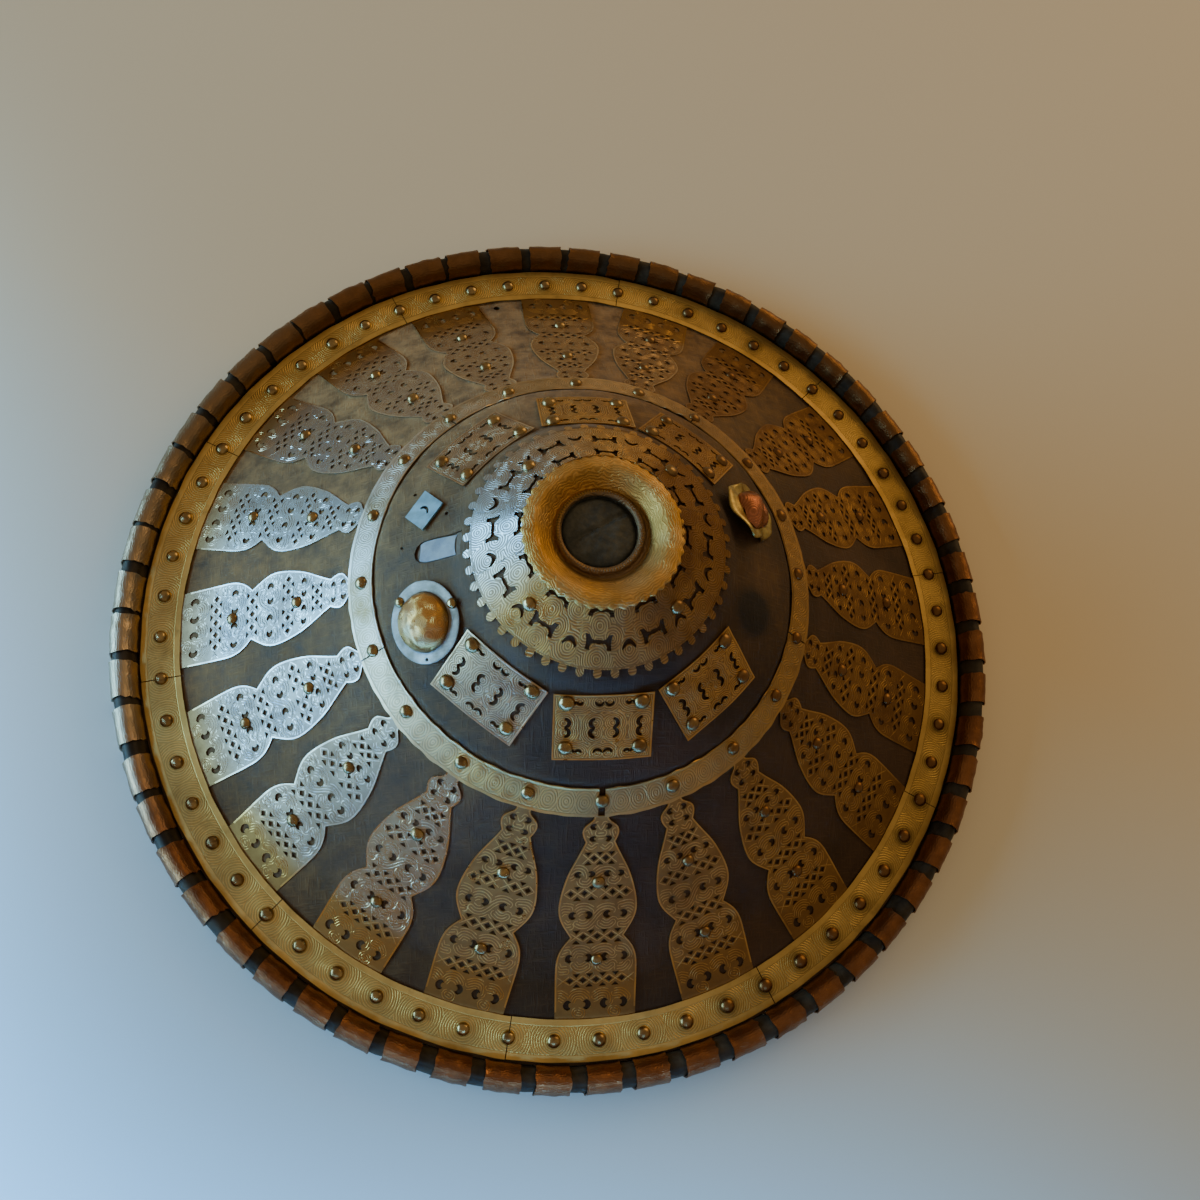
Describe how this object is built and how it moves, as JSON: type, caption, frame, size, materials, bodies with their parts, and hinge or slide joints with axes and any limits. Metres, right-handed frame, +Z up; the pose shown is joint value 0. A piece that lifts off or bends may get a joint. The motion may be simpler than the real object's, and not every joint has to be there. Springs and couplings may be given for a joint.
{
  "type": "hide shield",
  "caption": "Round conical hide shield lying on its back, with worn cloth facing, clipped metal rim, riveted bands, openwork straps and plates, and a dished collar at the tip.",
  "frame": {"origin": "centre of the shield on the plane it rests on, which is the flat underside of its brim", "axes": "+Z up along the shield's axis towards its tip; -Y towards the viewer of the reference view; the grip inside runs along X"},
  "size_m": [0.4798, 0.4798, 0.1494],
  "materials": {
    "hide": "dark hardened hide, worn and slightly glossy",
    "cloth": "worn dark woven cloth glued over the hide",
    "copper": "reddish copper alloy, tarnished, engraved",
    "brass": "yellow brass, tarnished, engraved",
    "gilt_silver": "warm tarnished silver sheet with traces of gilding, engraved and pierced",
    "silver": "plain silvery sheet, scratched",
    "thong": "pale dry thong end",
    "grip_leather": "dark brown rolled leather"
  },
  "bodies": {
    "root": {"bent_stud_dome": "copper", "bent_stud_flange": "brass", "boss_collar": "brass", "boss_plate": "gilt_silver", "cloth_facing": "cloth", "crown_plate_1": "gilt_silver", "crown_plate_2": "gilt_silver", "crown_plate_3": "gilt_silver", "crown_plate_4": "gilt_silver", "crown_plate_5": "gilt_silver", "crown_plate_6": "gilt_silver", "grip": "grip_leather", "grip_thong": "thong", "hide_shell": "hide", "mid_band_01": "gilt_silver", "mid_band_02": "gilt_silver", "mid_band_03": "gilt_silver", "mid_band_04": "gilt_silver", "mid_band_05": "gilt_silver", "outer_band_01": "brass", "outer_band_02": "brass", "outer_band_03": "brass", "outer_band_04": "brass", "outer_band_05": "brass", "outer_band_06": "brass", "outer_band_07": "brass", "outer_band_08": "brass", "outer_band_09": "brass", "outer_band_10": "brass", "rim_edging": "copper", "square_plate": "silver", "strap_01": "gilt_silver", "strap_02": "gilt_silver", "strap_03": "gilt_silver", "strap_04": "gilt_silver", "strap_05": "gilt_silver", "strap_06": "gilt_silver", "strap_07": "gilt_silver", "strap_08": "gilt_silver", "strap_09": "gilt_silver", "strap_10": "gilt_silver", "strap_11": "gilt_silver", "strap_12": "gilt_silver", "strap_13": "gilt_silver", "strap_14": "gilt_silver", "strap_15": "gilt_silver", "strap_16": "gilt_silver", "strap_17": "gilt_silver", "strap_18": "gilt_silver", "strap_19": "gilt_silver", "strap_20": "gilt_silver", "stud_dome": "copper", "stud_flange": "silver"}
  },
  "joints": []
}
